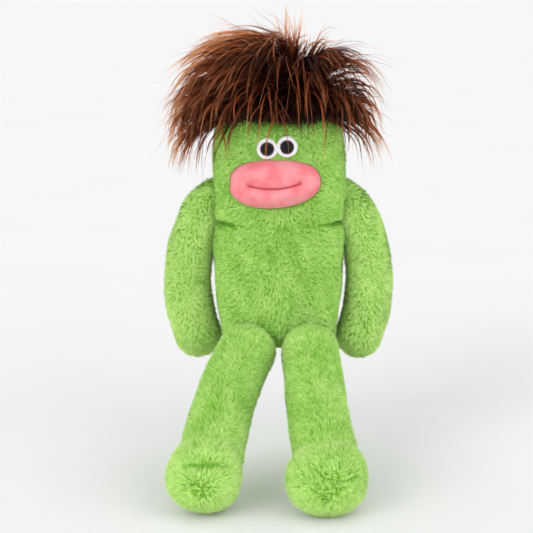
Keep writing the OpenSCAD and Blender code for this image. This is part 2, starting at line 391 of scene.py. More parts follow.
def mix_colour(mat, factor, first, second, blend_type="MIX"):
    """The node's colour sockets are numbers 6 and 7 in, and 2 out."""
    node = add_node(mat, "Mix", {0: factor, 6: first, 7: second},
                    data_type="RGBA", blend_type=blend_type)
    return node.outputs[2]


def bump(mat, height, distance):
    node = add_node(mat, "Bump", {"Height": height, "Distance": distance})
    feed(mat, principled(mat, "Normal"), node.outputs["Normal"])


def painted(mat, colour):
    """The material, with an output as its base colour."""
    feed(mat, principled(mat, "Base Color"), colour)
    return mat


def toned_pile(mat, dark, light):
    """Colours that run along each tuft, between the dark and the light by its tone."""
    dark = ramp(mat, field(mat, "along"), *dark)
    light = ramp(mat, field(mat, "along"), *light)
    return painted(mat, mix_colour(mat, field(mat, "tone"), dark, light))


def plush_pile():
    """Long green pile: deeper at the root, pale at the tip, each tuft a little different."""
    mat = shader("plush_pile", Roughness=0.62, Specular_IOR_Level=0.25, Sheen_Weight=0.75,
                 Sheen_Roughness=0.4, Sheen_Tint=linear(222, 250, 178))
    return toned_pile(
        mat, [(0.0, (94, 160, 32)), (0.5, (122, 192, 50)), (1.0, (150, 218, 78))],
        [(0.0, (140, 204, 68)), (0.5, (186, 238, 108)), (1.0, (230, 255, 168))])


def hair_pile():
    """Coarse glossy brown pile, near black at the root and lighter at the tip."""
    mat = shader("hair_pile", Roughness=0.40, Specular_IOR_Level=0.26)
    return toned_pile(
        mat, [(0.0, (14, 5, 2)), (0.5, (52, 19, 6)), (0.75, (108, 49, 21)),
              (1.0, (204, 120, 72))],
        [(0.0, (32, 11, 4)), (0.45, (112, 48, 18)), (0.75, (190, 103, 54)),
         (1.0, (255, 190, 134))])


def plush_backing():
    """The knitted ground that the pile grows from."""
    mat = shader("plush_backing", Roughness=0.9, Specular_IOR_Level=0.1)
    bump(mat, noise(mat, 1600, 2), 0.0004)
    return painted(mat, ramp(mat, noise(mat, 900), (0.3, (120, 178, 52)), (0.7, (138, 194, 66))))


def scalp_cloth():
    mat = shader("scalp_cloth", Roughness=0.85, Specular_IOR_Level=0.15)
    bump(mat, noise(mat, 1400, 2), 0.0005)
    return painted(mat, ramp(mat, noise(mat, 700), (0.35, (14, 6, 3)), (0.7, (30, 13, 7))))


def muzzle_velour():
    """Short pink velour, paler in places where the nap lies the other way: painted sheen."""
    mat = shader("muzzle_velour", Roughness=0.88, Specular_IOR_Level=0.15, Sheen_Weight=0.55,
                 Sheen_Roughness=0.45, Sheen_Tint=linear(255, 215, 212))
    # Painted sheen: paler pink where the nap lies the other way.
    sheen_patches = ramp(mat, noise(mat, 55, 3), (0.38, (255, 130, 140)), (0.62, (255, 162, 170)))
    fuzz = ramp(mat, noise(mat, 1700, 4, 0.7), (0.3, (226, 214, 214)), (0.7, (255, 255, 255)))
    velour = mix_colour(mat, 0.55, sheen_patches, fuzz, "MULTIPLY")
    # The darker orange-brown edge is partly the pad's stitched edge and partly painted shade from
    # the fur over it.
    edge = ramp(mat, noise(mat, 900), (0.3, (150, 66, 40)), (0.7, (216, 118, 88)))
    bump(mat, noise(mat, 2100, 4, 0.7), 0.0006)
    return painted(mat, mix_colour(mat, field(mat, "rim"), velour, edge))


def felt(name, dark, light):
    mat = shader(name, Roughness=0.92, Specular_IOR_Level=0.12,
                 Sheen_Weight=0.3, Sheen_Roughness=0.5)
    bump(mat, noise(mat, 2470, 4, 0.7), 0.0005)
    return painted(mat, ramp(mat, noise(mat, 1900, 5, 0.7), (0.3, dark), (0.72, light)))


def thread(name, dark, light, gloss=0.45):
    mat = shader(name, Roughness=gloss, Specular_IOR_Level=0.4, Sheen_Weight=0.15)
    place = add_node(mat, "TexCoord").outputs["Object"]
    twist = add_node(mat, "TexWave", {
        "Vector": place, "Scale": 900.0, "Distortion": 2.0}, bands_direction="DIAGONAL")
    bump(mat, twist.outputs["Fac"], 0.0002)
    return painted(mat, ramp(mat, twist.outputs["Fac"], (0.2, dark), (0.8, light)))


def studio_paper():
    mat = shader("studio_paper", Roughness=0.95, Specular_IOR_Level=0.05)
    return painted(mat, ramp(mat, noise(mat, 3.0, 2), (0.3, (250, 250, 250)),
                             (0.7, (252, 252, 252))))


PILE = plush_pile()
BACKING = plush_backing()
HAIR = hair_pile()
SCALP = scalp_cloth()
VELOUR = muzzle_velour()
EYE_FELT = felt("eye_white_felt", (238, 234, 238), (254, 252, 253))
PUPIL_FELT = felt("pupil_felt", (14, 14, 16), (32, 31, 34))
PUPIL_THREAD = thread("pupil_thread", (8, 8, 9), (34, 33, 36), 0.32)
SMILE_THREAD = thread("smile_thread", (214, 38, 82), (242, 90, 124))
GREEN_THREAD = thread("green_thread", (70, 120, 34), (124, 176, 70))

MUZZLE_MIDDLE = box_middle("muzzle_cover", FACE_Y)
EYE_MIDDLE = {side: box_middle(f"{side}_eye_white", FACE_Y) for side in SIDES}


# ==== fur and skins ====

def pile_locks(skin, root, rng):
    """Which small lock each root is in, and how many locks there are."""
    count = int(skin.areas().sum() / PILE_LOCK ** 2)
    middles, _ = skin.scatter(count, rng)
    tree = KDTree(count)
    for i, place in enumerate(middles):
        tree.insert(place, i)
    tree.balance()
    return np.array([tree.find(place)[1] for place in root]), count


def lying_way(root, normal, flow, lock, locks, seed, rng):
    """The way each tuft lies, and from 0 to 1 how far it stands up for want of a way."""
    swirl = 0.60 * ripple(root, 0.028, seed + 1) + rng.normal(0, 0.30, locks)[lock]
    swirl += rng.normal(0, 0.36, len(root))
    down = flow - normal * dot(flow, normal)
    upright = 1 - smoothstep(norm(down, axis=1), 0.05, 0.45)
    down = unit(down)
    swirl += upright * rng.uniform(-math.pi, math.pi, locks)[lock]
    across = np.cross(normal, down)
    return down * np.cos(swirl)[:, None] + across * np.sin(swirl)[:, None], upright


def tuft_paths(root, normal, down, angles, tall, lock, locks):
    """Three places along each tuft, which leans over to its lock's middle towards the tip."""
    start, finish = angles
    path = [root - normal * PILE_SUNK]
    for near, far in zip(TUFT_STEPS[:-1], TUFT_STEPS[1:]):
        angle = (start + (finish - start) * (near + far) / 2)[:, None]
        heading = normal * np.sin(angle) + down * np.cos(angle)
        path.append(path[-1] + heading * (tall * (far - near))[:, None])
    path = np.stack(path, axis=1)
    members = np.bincount(lock, minlength=locks)[:, None].clip(1)
    middle = np.stack([np.bincount(lock, path[:, -1, axis], minlength=locks)
                       for axis in range(3)], -1)
    pull = (middle / members)[lock] - path[:, -1]
    pull -= normal * dot(pull, normal)
    return path + pull[:, None] * (PILE_PULL * TUFT_STEPS ** 1.4)[None, :, None]


def tuft_ribbons(path, normal, rng):
    """Vertices and faces of tapering ribbons on the paths, and the ribbons' own normals."""
    count = len(path)
    tangent = unit(np.gradient(path, axis=1))
    side = unit(np.cross(tangent, normal[:, None]))
    lift = np.cross(side, tangent)
    twist = rng.normal(0, 0.42, count)[:, None, None]
    turned = side * np.cos(twist) + lift * np.sin(twist)
    half_width = PILE_WIDTH / 2 * rng.uniform(0.7, 1.3, count)[:, None] * np.array([[0.8, 1.0]])
    left = path[:, :2] + turned[:, :2] * half_width[..., None]
    right = path[:, :2] - turned[:, :2] * half_width[..., None]
    verts = np.concatenate([np.stack([right, left], 2).reshape(count, 4, 3), path[:, 2:]], 1)
    pattern = np.array([[0, 1, 3], [0, 3, 2], [2, 3, 4]])
    faces = (pattern[None] + (np.arange(count) * 5)[:, None, None]).reshape(-1, 3)
    return verts.reshape(-1, 3), faces, np.cross(turned, tangent)[:, 0]


def pile_tufts(name, skin, flow, seed, length=PILE_LENGTH, rise=PILE_RISE, tone=0.45,
               keep=None, flatten=None, crease=None):
    """Tapering ribbons of pile on a skin, leaning together in small locks.

    flow(places, normals) gives the way the pile lies, and keep(places) which roots stay.
    From 0 to 1, flatten(places, normals) tells how flat it is pressed, and crease(places)
    how deep in a fold it is; the pile is darkened there by that much, as painted shade.
    """
    rng = np.random.default_rng(seed)
    root, normal = skin.scatter(int(skin.areas().sum() / MM ** 2 * PILE_DENSITY), rng)
    if keep:
        stays = keep(root)
        root, normal = root[stays], normal[stays]
    count = len(root)
    lock, locks = pile_locks(skin, root, rng)
    down, upright = lying_way(root, normal, flow(root, normal), lock, locks, seed, rng)

    lock_rise = rng.normal(0, 4, locks)[lock] + 5 * ripple(root, 0.018, seed + 3)
    pressed = flatten(root, normal) if flatten else 0.0
    angles = []
    for usual, standing, flat in zip(rise, PILE_STANDING, PILE_PRESSED):
        angle = np.radians(usual + lock_rise + rng.normal(0, 9, count))
        angle += (np.radians(standing) - angle) * upright
        angles.append(angle * (1 - pressed) + np.radians(flat) * pressed)
    tall = length * rng.uniform(0.65, 1.2, count) * (1 - 0.35 * pressed)
    path = tuft_paths(root, normal, down, angles, tall, lock, locks)
    verts, faces, own_normal = tuft_ribbons(path, normal, rng)

    tone = tone + 0.22 * ripple(root, 0.030, seed + 2) + 0.16 * ripple(root, 0.009, seed + 4)
    tone += rng.normal(0, 0.10, locks)[lock]
    tone += rng.normal(0, 0.22, count)
    # Painted shade: the pile's tone is darkened where it lies in a fold.
    if crease:
        tone -= 1.2 * crease(root)
    tufts = build_mesh(name, verts, [faces], PILE, {
        "along": np.tile(TUFT_STEPS[[0, 0, 1, 1, 2]], count),
        "tone": np.repeat(np.clip(tone, 0, 1), 5)})
    facing = np.repeat(unit(normal * 0.80 + own_normal * 0.35 + down * 0.12), 5, axis=0)
    tufts.data.normals_split_custom_set_from_vertices(facing.astype(np.float32))
    return tufts


def column_half_width(height):
    known, widths = np.array(COLUMN_WIDTHS).T * MM
    return smooth_profile(height, known, widths)


def column_half_depth(height):
    known, shares = np.array(COLUMN_DEPTHS).T
    return smooth_profile(height, known * MM, shares) * COLUMN_HALF_DEPTH


def smooth_profile(height, known, values):
    """Linear interpolation, softened over a few millimetres."""
    shifts = np.array([-4.0, -2.0, 0.0, 2.0, 4.0]) * MM
    return np.mean([np.interp(height + s, known, values) for s in shifts], axis=0)


def column_row(height, inset, around):
    """One ring of the column's backing."""
    turn = once_round(around)
    power = 2 / COLUMN_SQUARENESS
    x = (column_half_width(height) - inset) * squared(np.cos(turn), power)
    y = (column_half_depth(height) - inset) * squared(np.sin(turn), power)
    return np.stack([x, y, np.full(around, height)], -1)


def column_size(x, y, half_width, half_depth):
    """How far out places are on the column's squared outline, with 1 on it."""
    return (np.abs(x / half_width) ** COLUMN_SQUARENESS
            + np.abs(y / half_depth) ** COLUMN_SQUARENESS) ** (1 / COLUMN_SQUARENESS)


def column_rows():
    """(height, inset) pairs from the seat to the crown."""
    straight_top = COLUMN_TOP - TOP_ROUND
    rows = [(BASE_Z, BASE_ROUND * 1.8)]
    rows += [(BASE_Z + BASE_ROUND * (1 - math.cos(turn)), BASE_ROUND * (1 - math.sin(turn)))
             for turn in np.linspace(0, math.pi / 2, 8)]
    rows += [(height, 0.0)
             for height in np.arange(BASE_Z + BASE_ROUND + 0.002, straight_top, 0.002)]
    rows += [(straight_top + TOP_ROUND * math.sin(turn), TOP_ROUND * (1 - math.cos(turn)))
             for turn in np.linspace(0, math.pi / 2, 12)]
    return rows + [(COLUMN_TOP + 0.0012, TOP_ROUND * 1.3)]


def column_skins():
    rings = np.array([column_row(height, inset, 176) for height, inset in column_rows()])
    outward = rings * LEVEL
    lumps = 0.0013 * ripple(rings, 0.045, 5) + 0.0008 * ripple(rings, 0.02, 6)
    ends = smoothstep(np.abs(rings[..., 0]), 0.020, 0.052)
    fold = bell(rings[..., 2] - FOLD_Z, 0.0022) * (0.0006 + 0.0034 * ends)
    above = bell(rings[..., 2] - FOLD_Z - 0.019, 0.0030) * 0.0010
    heights = rings[:, 0, 2]
    calm = smoothstep(heights, 0.004, 0.02) * (1 - smoothstep(heights, 0.225, 0.238))
    rings = rings + unit(outward) * ((lumps - fold - above) * calm[:, None])[..., None]
    cut = int(np.argmin(np.abs(heights - FOLD_Z)))
    at_fold = UP * heights[cut]
    lower = Skin(rings[:cut + 1], UP * BASE_Z, at_fold, bare=("last",))
    upper = Skin(rings[cut:], at_fold, UP * (COLUMN_TOP + 0.002), bare=("first",))
    return lower, upper


def column_flow(places, normals):
    """Down and outward from the middle line, parting at the crown."""
    flow = np.tile(-0.6 * UP, (len(places), 1))
    flow[:, 0] += 1.1 * np.tanh(places[:, 0] / 0.022)
    outward = places * LEVEL
    top = smoothstep(normals[:, 2:3], 0.3, 0.8)
    under = smoothstep(-normals[:, 2:3], 0.3, 0.8)
    return flow * (1 - top - under) + unit(outward) * (top + under)


def keep_upper(places):
    """Leaves out roots behind the muzzle and the eyes, under the hair, or on the limbs."""
    across, _, up = (places - MUZZLE_MIDDLE).T
    half_w, half_h = np.array(MUZZLE_HALF) - 0.0025
    bald = np.abs(across / half_w) ** 2.4 + np.abs(up / half_h) ** 2.4 < 1
    for middle in EYE_MIDDLE.values():
        across, _, up = (places - middle).T
        bald |= np.hypot(across, up) < EYE_RADIUS - 0.0012
    bald &= places[:, 1] < 0
    return ~bald & (places[:, 2] <= HAIRLINE_Z + 0.006) & keep_off_limbs(places)


def keep_off_limbs(places):
    """Leaves out roots that lie inside an arm's or a leg's sewn end."""
    stays = np.ones(len(places), bool)
    for side in SIDES:
        for joint, radius in (("hip_swing", LEG_RADIUS), ("shoulder_swing", ARM_RADIUS)):
            away = places - JOINT_PLACE[f"{side}_{joint}"]
            stays &= norm(away, axis=1) > radius - 0.001
    return stays


def neck_crease_shade(places):
    """How much painted shade, from 0 to 1, the pile gets in the fold between the torso and the
    head.
    """
    ends = smoothstep(np.abs(places[:, 0]), 0.022, 0.050)
    return bell(places[:, 2] - FOLD_Z, 0.0020) * (0.15 + 0.5 * ends)


def underside(places, normals):
    return smoothstep(-normals[:, 2], 0.3, 0.8)


def make_column():
    lower, upper = column_skins()
    made = []
    for name, skin, keep in (("torso", lower, keep_off_limbs), ("head", upper, keep_upper)):
        cover = skin.make(f"{name}_cover", BACKING)
        pieces = [cover]
        for panel, way in (("front", -1), ("back", 1)):
            # The neck crease darkens the pile's tone in the fold: painted shade.
            pieces.append(pile_tufts(
                f"{name}_{panel}_pile", skin, column_flow, 100 + 20 * len(made) + way,
                keep=lambda places: keep(places) & (places[:, 1] * way > 0),
                flatten=underside, crease=neck_crease_shade))
        made.append(pieces)
    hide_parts("torso_front_panel", "torso_back_panel", "torso_base_panel",
                "torso_stuffing", "torso_seam_tape", "neck_stuffing", "neck_fold_panel")
    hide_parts("head_front_panel", "head_back_panel", "head_stuffing",
                "head_seam_tape")
    for piece in made[0]:
        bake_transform(piece)
    for piece in made[1]:
        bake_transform(piece)


def limb_rings(middles, headings, radii, side_vector, around):
    """Rings round a middle line, with half-round ends, and the two end points."""
    turn = once_round(around)[:, None]
    ends = np.linspace(0.12, math.pi / 2, 9)[:-1]
    cosines = np.array([[math.cos(t)] for t in ends])
    sines = np.array([math.sin(t) for t in ends])
    low_end = middles[0] - headings[0] * radii[0] * cosines
    high_end = middles[-1] + headings[-1] * radii[-1] * cosines[::-1]
    centres = np.vstack([low_end, middles, high_end])
    ways = np.vstack([headings[[0] * len(ends)], headings, headings[[-1] * len(ends)]])
    sizes = np.concatenate([radii[0] * sines, radii, radii[-1] * sines[::-1]])
    first = unit(np.cross(ways, side_vector))
    second = np.cross(ways, first)
    rings = centres[:, None] + sizes[:, None, None] * (
        first[:, None] * np.cos(turn) + second[:, None] * np.sin(turn))
    return rings, middles[0] - headings[0] * radii[0], middles[-1] + headings[-1] * radii[-1]


def arm_line(side, count):
    """The arm's middle line, from where it is sewn on down to the hand, and its headings.

    It starts inside the column's side, so that the arm slopes out of the column.
    """
    low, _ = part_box(f"{side}_arm_front_panel")
    shoulder = JOINT_PLACE[f"{side}_shoulder_swing"]
    start = np.array([abs(shoulder[0]), shoulder[2]])
    finish = np.array([HAND_X, low.z + ARM_RADIUS - 0.002])
    chord = finish - start
    half_turn = math.asin(norm(chord) / 2 / ARM_BOW)
    inward = np.array([chord[1], -chord[0]]) / norm(chord)
    centre = (start + finish) / 2 + inward * ARM_BOW * math.cos(half_turn)
    first = math.atan2(*(start - centre)[::-1])
    turn = first - 2 * half_turn * np.linspace(0.15, 1, 12)
    arc = centre + ARM_BOW * np.stack([np.cos(turn), np.sin(turn)], -1)
    sewn = start + np.array([[-0.0130, 0.0215], [-0.0068, 0.0145], [-0.0012, 0.0065]])
    knots = np.vstack([sewn, arc])
    reach = np.concatenate([[0], np.cumsum(norm(np.diff(knots, axis=0), axis=1))])
    place = np.linspace(0, reach[-1], count)
    line = np.stack([np.interp(place, reach, knots[:, axis]) for axis in range(2)], -1)
    for _ in range(3):
        line[1:-1] = (line[:-2] + 2 * line[1:-1] + line[2:]) / 4
    middles = np.stack([SIDES[side] * line[:, 0], np.zeros(count), line[:, 1]], -1)
    return middles, unit(np.gradient(middles, axis=0)), place


def make_arm(side, seed):
    middles, headings, place = arm_line(side, 44)
    radii = np.interp(place, [0, 0.009, 0.022, 0.045, 0.09, 0.12, 0.14],
                      [0.0145, 0.0174, 0.0196, 0.0203, 0.0202, 0.0208, 0.0206])
    rings, first, last = limb_rings(middles, headings, radii, np.array([0, 1.0, 0]), 72)
    skin = Skin(rings, first, last)
    # The arm's pile gets a higher tone than the column's: painted light, as the arms are lit more
    # brightly.
    finish_limb(skin, side, "arm", seed, lambda p, n: arm_flow(p, middles, headings), tone=0.84)


def arm_flow(places, middles, headings):
    nearest = np.argmin(norm(places[:, None] - middles[None], axis=2), axis=1)
    return 0.7 * headings[nearest] + unit(places - middles[nearest]) * np.array([0.8, 0, 0])


def finish_limb(skin, side, part, seed, flow, **pile):
    """Makes a limb's cover and pile, and lets both ride on its body."""
    body = f"{side}_{part}"
    skin.verts = skin.verts + skin.normals * 0.0007 * ripple(skin.verts, 0.03, seed)[:, None]
    cover = skin.make(f"{body}_cover", BACKING)
    tufts = pile_tufts(f"{body}_pile", skin, flow, seed, **pile)
    panels = {
        "arm": ["arm_front_panel", "arm_back_panel", "arm_stuffing", "shoulder_stuffing"],
        "leg": ["leg_upper_panel", "leg_under_panel", "leg_stuffing", "hip_stuffing"],
        "boot": ["boot_upper_panel", "boot_sole_panel", "boot_stuffing"],
    }[part]
    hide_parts(*[f"{side}_{panel}" for panel in panels])
    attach(cover, body)
    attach(tufts, body)


def leg_flow(places, heading):
    """Up the leg and outward from its middle line."""
    flow = np.tile(-0.6 * heading, (len(places), 1))
    middle = places @ heading
    sideways = unit(places - places.mean(axis=0) - np.outer(middle - middle.mean(), heading))
    return flow + sideways * np.array([0.8, 0.0, 0.0])


def make_leg(side, seed):
    hip = JOINT_PLACE[f"{side}_hip_swing"]
    ankle = JOINT_PLACE[f"{side}_ankle_flex"]
    heading = unit(ankle - hip)
    share = np.linspace(0, 1, 44)
    middles = hip + (ankle - hip) * share[:, None]
    middles[:, 0] += LEG_SAG[side] * np.sin(math.pi * share) ** 0.7
    radii = np.interp(share, [0, 0.5, 1], [0.975, 1.0, 1.03]) * LEG_RADIUS
    headings = unit(np.gradient(middles, axis=0))
    rings, first, last = limb_rings(middles, headings, radii, UP, 84)
    finish_limb(Skin(rings, first, last), side, "leg", seed, lambda p, n: leg_flow(p, heading),
                tone=0.48)
    parting = unit(np.array(BOOT_PARTING[side]))
    # The boot's crease dents its skin and also darkens the pile's tone there; the darkening is
    # painted shade.
    finish_limb(boot_skin(side, ankle, heading), side, "boot", seed + 7,
                lambda p, n: boot_flow(p, parting, seed), length=0.0062, rise=(58, 36),
                tone=0.78, crease=lambda p: boot_crease(side, p - ankle - heading * BOOT_AHEAD))


def boot_flow(places, parting, seed):
    """Away from the toe's parting, pushed about in clumps."""
    clumps = np.stack([ripple(places, 0.016, seed + axis) for axis in (11, 12, 13)], -1)
    return 0.24 * clumps - parting


def boot_crease(side, away):
    """How deep, from 0 to 1, the crease above the toe is at places from the boot's middle."""
    _, _, turn, height = BOOT_SHAPE[side]
    across = away[:, 0] - turn
    facing = smoothstep(-away[:, 1], 0.004, 0.016)
    span = 1 - smoothstep(np.abs(across), 0.012, 0.022)
    bend = away[:, 2] - height + 6.0 * across ** 2
    return bell(bend, 0.0020) * span * facing


def boot_skin(side, ankle, heading):
    """A round boot, wider than deep, with a crease pressed in above its toe."""
    middle = ankle + heading * BOOT_AHEAD
    poles = middle + heading * BOOT_RADIUS * np.array([[-0.04], [0.04]])
    rings, first, last = limb_rings(poles, np.stack([heading] * 2), np.full(2, BOOT_RADIUS),
                                    UP, 96)
    skin = Skin(rings, first, last)
    away = skin.verts - middle
    shift, widening, _, _ = BOOT_SHAPE[side]
    toeward = smoothstep(away @ heading, -0.02, 0.01)
    away[:, 0] *= widening
    dents = 0.0012 * ripple(away, 0.026, 61) - 0.0048 * boot_crease(side, away)
    skin.verts = middle + away + unit(away) * dents[:, None]
    skin.verts[:, 0] += shift * toeward
    skin.normals = skin.vertex_normals()
    return skin


# ==== face ====

def make_muzzle():
    """The puffed velour pad, creased along the smile."""
    around, rows = 280, 84
    turn = once_round(around)
    power = np.where(np.sin(turn) > 0, 2 / 2.75, 2 / 2.05)  # squarer above than below
    reach = np.sin(np.linspace(math.pi / 2, 0, rows, endpoint=False))[:, None]
    x = squared(np.cos(turn), power) * MUZZLE_HALF[0] * reach
    z = squared(np.sin(turn), power) * MUZZLE_HALF[1] * reach
    x = x + MUZZLE_SLANT * np.minimum(z, 0)
    puff = (1 - reach ** 2.7).clip(0) ** 0.52
    flat = np.stack([x, np.zeros_like(x), z], -1)
    puff = puff * (1 + 0.035 * ripple(flat, 0.02, 31)) * MUZZLE_OUT
    gather = np.sin(turn * 31 + 2 * np.sin(turn * 5)) * smoothstep(reach, 0.75, 0.98)
    puff = puff - 0.0005 * gather.clip(0) - smile_dent(x, z)
    rings = np.stack([MUZZLE_MIDDLE[0] + x, FACE_Y - 0.0004 - puff, MUZZLE_MIDDLE[2] + z], -1)
    back = MUZZLE_MIDDLE + np.array([0, 0.004, 0])
    rim_back = rings[0] * np.array([1, 0, 1]) + np.array([0, FACE_Y + 0.003, 0])
    rings = np.concatenate([rim_back[None], rings])
    skin = Skin(rings, back, rings[-1].mean(axis=0))
    # The rim field marks the pad's edge, coloured partly as its stitching and partly as painted
    # shade from the fur.
    rim = np.repeat(np.concatenate([[1.0], smoothstep(reach[:, 0], 0.962, 0.992)]), around)
    pad = skin.make("muzzle_pad", VELOUR, {"rim": np.concatenate([[1.0], rim, [0.0]])})
    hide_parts("muzzle_cover", "muzzle_stuffing")
    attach(pad, "head")


def smile_height(x):
    """Height of the smile line from the muzzle's middle, for x from the same middle."""
    share = (x + 0.003) / 0.026
    rise = np.where(share > 0, 0.0048, 0.0038)
    return -0.0034 + rise * np.abs(share) ** 2


def smile_dent(x, z):
    """How deep the smile is pressed in: a crease, a full lip below it and two corners."""
    away = z - smile_height(x)
    within = smoothstep(x, -0.0285, -0.0245) * (1 - smoothstep(x, 0.0225, 0.0265))
    crease = 0.0026 * bell(away, 0.0013) + 0.0026 * bell(away, 0.0050)
    lip = 0.0010 * bell(away + 0.0075, 0.004)
    dent = within * (crease - lip)
    for corner_x in (-0.0268, 0.0245):
        far = np.hypot(x - corner_x, z - smile_height(np.array(corner_x)))
        dent = dent + 0.0030 * bell(far, 0.0032)
    return dent


def make_smile():
    """Backstitches in the crease."""
    rng = np.random.default_rng(41)
    stitches = 17
    edges = np.linspace(-0.0262, 0.0240, stitches + 1)
    x = np.linspace(edges[:-1] + 0.0001, edges[1:] - 0.0001, 7, axis=1)
    y = FACE_Y - MUZZLE_OUT * 0.985 + 0.0032 + 0.0008 * np.linspace(-1, 1, 7) ** 2
    y = y + 0.0052 * np.abs(x / MUZZLE_HALF[0]) ** 2.4
    paths = np.stack([MUZZLE_MIDDLE[0] + x, y, MUZZLE_MIDDLE[2] + smile_height(x)], -1)
    radii = SMILE_STITCH_RADIUS * np.tile([0.5, 0.9, 1, 1, 1, 0.9, 0.5], (stitches, 1))
    seam = sew("smile_stitches", paths, radii, 6, rng, SMILE_THREAD)
    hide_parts("smile_seam")
    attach(seam, "head")


def disc(name, middle, radius, thick, puff, mat, seed):
    """A stuffed felt disc facing -Y, its back at the middle's y."""
    around, rows = 96, 22
    turn = once_round(around)
    edge = radius * (1 + 0.012 * np.sin(3 * turn + seed) + 0.008 * np.sin(7 * turn + 2 * seed))
    half = thick / 2
    rings = []
    for angle in np.linspace(-math.pi / 2, math.pi / 2, 9):
        rings.append((edge - half + half * math.cos(angle), half + half * math.sin(angle)))
    for share in np.linspace(1, 0, rows, endpoint=False)[1:]:
        rings.append(((edge - half) * share, thick + puff * (1 - share ** 2)))
    made = np.array([[middle[0] + reach * np.cos(turn), np.full(around, middle[1] - height),
                      middle[2] + reach * np.sin(turn)] for reach, height in rings])
    skin = Skin(made.transpose(0, 2, 1), middle, middle - np.array([0, thick + puff, 0]))
    return skin.make(name, mat)


def make_eye(side, seed):
    middle = EYE_MIDDLE[side]
    white = disc(f"{side}_eye_disc", middle, EYE_RADIUS, 0.0042, 0.0010, EYE_FELT, seed)
    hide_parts(f"{side}_eye_white")
    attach(white, "head")
    spot = box_middle(f"{side}_pupil", middle[1] - 0.0048)
    core = disc(f"{side}_pupil_felt", spot, PUPIL_RADIUS - 0.0010, 0.0008, 0.0003, PUPIL_FELT, seed)
    rim = pupil_rim(f"{side}_pupil_rim", spot, seed)
    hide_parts(f"{side}_pupil")
    for piece in (core, rim):
        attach(piece, "head")


def pupil_rim(name, spot, seed):
    """Satin stitches laid side by side over the pupil's edge."""
    rng = np.random.default_rng(seed)
    stitches = 76
    turn = once_round(stitches) + rng.normal(0, 0.012, stitches)
    arch = np.linspace(0.15, math.pi - 0.15, 7)
    reach = PUPIL_RADIUS - 0.0009 - 0.0010 * np.cos(arch) + rng.normal(0, 0.00010, (stitches, 1))
    height = np.tile(0.00105 * np.sin(arch) - 0.0001, (stitches, 1))
    angle = turn[:, None] + 0.05 * np.cos(arch)
    paths = np.stack([spot[0] + reach * np.cos(angle), spot[1] - height,
                      spot[2] + reach * np.sin(angle)], -1)
    return sew(name, paths, np.full((stitches, 7), 0.00031), 5, rng, PUPIL_THREAD)


def make_closing_stitches():
    """The ladder stitches up the middle of the back."""
    rng = np.random.default_rng(43)
    low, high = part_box("closing_stitches")
    stitches = 9
    share = np.linspace(-1, 1, 9)  # across one stitch
    paths = []
    for height in np.linspace(low.z, high.z, stitches):
        x = (high.x - low.x) / 2 * share * rng.uniform(0.9, 1.1)
        y = low.y + 0.0004 + 0.0010 * (1 - share ** 2)
        z = height + 0.0006 * share * rng.uniform(-1, 1)
        paths.append(np.stack([x, y, z], -1))
    radii = np.full((stitches, 9), 0.00045)
    ladder = sew("back_stitches", np.array(paths), radii, 6, rng, GREEN_THREAD)
    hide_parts("closing_stitches")
    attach(ladder, "torso")


# ==== hair ====

def make_scalp():
    """The dark cap that the hair is sewn through."""
    around = 120
    rings = np.array([column_row(height, inset - 0.0022, around)
                      for height, inset in column_rows() if height > HAIRLINE_Z])
    rings[..., 2] += 0.0015
    rings[0, :, 2] += 0.0016 * np.sin(np.arange(around) * 0.9)  # a wavy edge
    skin = Skin(rings, UP * (HAIRLINE_Z + 0.003), UP * (COLUMN_TOP + 0.0038))
    cap = skin.make("scalp_cap", SCALP)
    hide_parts("scalp_panel")
    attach(cap, "head")


def scalp_place(azimuth, share):
    """A point on the cap, out from the whorl by a share of the way to the cap's edge."""
    half_w, half_d = 0.0585, 0.0415
    ways = np.stack([np.cos(azimuth), np.sin(azimuth)], -1)
    reach = np.full(len(azimuth), 0.10)
    for _ in range(30):
        x, y = (WHORL + ways * reach[:, None]).T
        reach = reach / column_size(x, y, half_w, half_d) ** 0.7
    x, y = (WHORL + ways * (reach * share)[:, None]).T
    inset = np.clip((1 - column_size(x, y, half_w, half_d)) * half_w, 0, TOP_ROUND)
    z = COLUMN_TOP - TOP_ROUND + np.sqrt(TOP_ROUND ** 2 - (TOP_ROUND - inset) ** 2)
    return np.stack([x, y, np.maximum(z, HAIRLINE_Z + 0.001) + 0.001], -1)


def off_the_head(path, clearance):
    """Moves places that are inside the head out to its surface."""
    x, y, z = path[..., 0], path[..., 1], path[..., 2]
    size = column_size(x, y, column_half_width(z) + clearance, column_half_depth(z) + clearance)
    inside = (size < 1) & (z < COLUMN_TOP - 0.008)
    scale = np.where(inside, 1 / np.maximum(size, 0.2), 1.0)
    return path * np.stack([scale, scale, np.ones_like(scale)], -1)


def inside_the_dome(path, limits):
    """Draws places beyond the hair's rounded outline back towards it."""
    away = path - DOME_MIDDLE
    away[..., 2] = away[..., 2].clip(0)
    size = np.sum(np.abs(away / DOME_HALF) ** 2.1, axis=-1) ** (1 / 2.1) / limits[:, None]
    scale = np.where(size > 1, (1 + 0.4 * (size - 1)) / np.maximum(size, 1), 1.0)
    return path - away * (1 - scale)[..., None]


